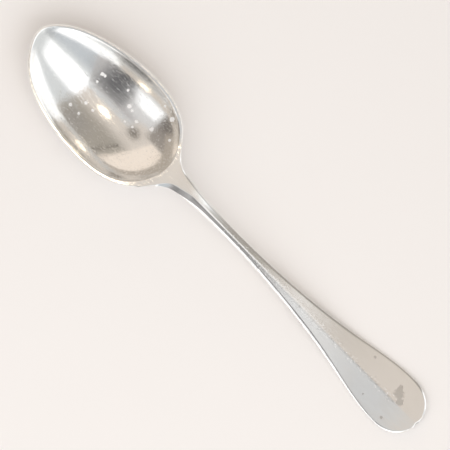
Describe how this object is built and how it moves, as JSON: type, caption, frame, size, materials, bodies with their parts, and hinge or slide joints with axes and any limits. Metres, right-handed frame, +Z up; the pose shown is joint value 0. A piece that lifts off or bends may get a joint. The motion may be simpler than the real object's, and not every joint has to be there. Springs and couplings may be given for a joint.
{
  "type": "teaspoon",
  "caption": "Silver teaspoon with an egg-shaped bowl, a slim ridged handle and a rounded fan end, bowl and handle lapped and hard-soldered.",
  "frame": {"origin": "on the surface the spoon lies on, under the middle of its length and width", "axes": "+X from the tip of the bowl to the end of the handle, +Z up out of the bowl, +Y to the left of someone looking along +X"},
  "size_m": [0.14, 0.029, 0.0091],
  "materials": {
    "bowl_silver": "polished silver, finely scratched and spotted by use",
    "handle_silver": "polished silver worn to satin along the ridge and edges",
    "hard_solder": "dressed hard solder, a little yellower than the silver"
  },
  "bodies": {
    "root": {"bowl": "bowl_silver", "handle": "handle_silver", "solder_seam": "hard_solder"}
  },
  "joints": []
}
